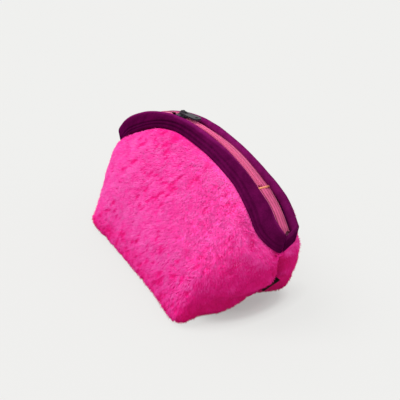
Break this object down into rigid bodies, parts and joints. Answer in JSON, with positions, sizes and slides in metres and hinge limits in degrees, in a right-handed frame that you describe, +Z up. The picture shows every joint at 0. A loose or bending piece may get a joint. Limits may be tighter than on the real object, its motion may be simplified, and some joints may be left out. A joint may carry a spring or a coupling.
{
  "type": "plush zip pouch",
  "caption": "Soft plush pouch standing on a padded base, with an arched mouth between velvet bound lips that open along a coil zip with a slider and pull tab.",
  "frame": {"origin": "on the ground under the middle of the base", "axes": "+X from the left tip of the mouth to the right tip, front towards -Y, +Z up"},
  "size_m": [0.18, 0.0942, 0.0905],
  "materials": {
    "plush": "short dense pile",
    "velvet": "short velvet pile",
    "wadding": "lofted fibre",
    "lining": "plain weave",
    "board": "matte sheet",
    "zip_tape": "woven tape",
    "zip_coil": "nylon coil",
    "zip_metal": "dark satin",
    "binding_thread": "sewing thread",
    "tack_thread": "sewing thread",
    "ribbon": "satin ribbon"
  },
  "bodies": {
    "pouch": {"front_panel": "plush", "back_panel": "plush", "base_panel": "plush", "front_wadding": "wadding", "back_wadding": "wadding", "front_lining": "lining", "back_lining": "lining", "base_board": "board", "base_lining": "lining", "left_binding_tip": "velvet", "right_binding_tip": "velvet", "left_zip_end": "zip_tape", "right_zip_end": "zip_tape", "zip_bartack": "tack_thread", "side_label": "ribbon"},
    "front_lip": {"front_lip_panel": "plush", "front_lip_lining": "lining", "front_binding": "velvet", "front_binding_stitching": "binding_thread", "front_zip_tape": "zip_tape", "front_zip_coil": "zip_coil", "front_top_stop": "zip_metal"},
    "back_lip": {"back_lip_panel": "plush", "back_lip_lining": "lining", "back_binding": "velvet", "back_binding_stitching": "binding_thread", "back_zip_tape": "zip_tape", "back_zip_coil": "zip_coil", "back_top_stop": "zip_metal"},
    "slider": {"slider_body": "zip_metal", "slider_crown": "zip_metal", "slider_spring": "zip_metal"},
    "puller": {"pull_tab": "zip_metal"}
  },
  "joints": [
    {"name": "front_lip_fold", "type": "hinge", "parent": "pouch", "child": "front_lip", "pos_m": [0, -0.0227, 0.072], "axis": [1, 0, 0], "range_deg": [0, 45], "deforming": ["front_zip_tape", "front_zip_coil"]},
    {"name": "back_lip_fold", "type": "hinge", "parent": "pouch", "child": "back_lip", "pos_m": [0, 0.0227, 0.072], "axis": [-1, 0, 0], "range_deg": [0, 45], "deforming": ["back_zip_tape", "back_zip_coil"]},
    {"name": "zip_travel", "type": "hinge", "parent": "pouch", "child": "slider", "pos_m": [0, 0, -0.04233], "axis": [0, 1, 0], "range_deg": [0, 31]},
    {"name": "pull_tab_swing", "type": "hinge", "parent": "slider", "child": "puller", "pos_m": [-0.01843, 0, 0.08881], "axis": [0, -1, 0], "range_deg": [0, 170]}
  ],
  "couplings": [
    {"joint": "back_lip_fold", "follows": "front_lip_fold", "ratio": 1},
    {"joint": "zip_travel", "follows": "front_lip_fold", "ratio": 0.68889}
  ]
}
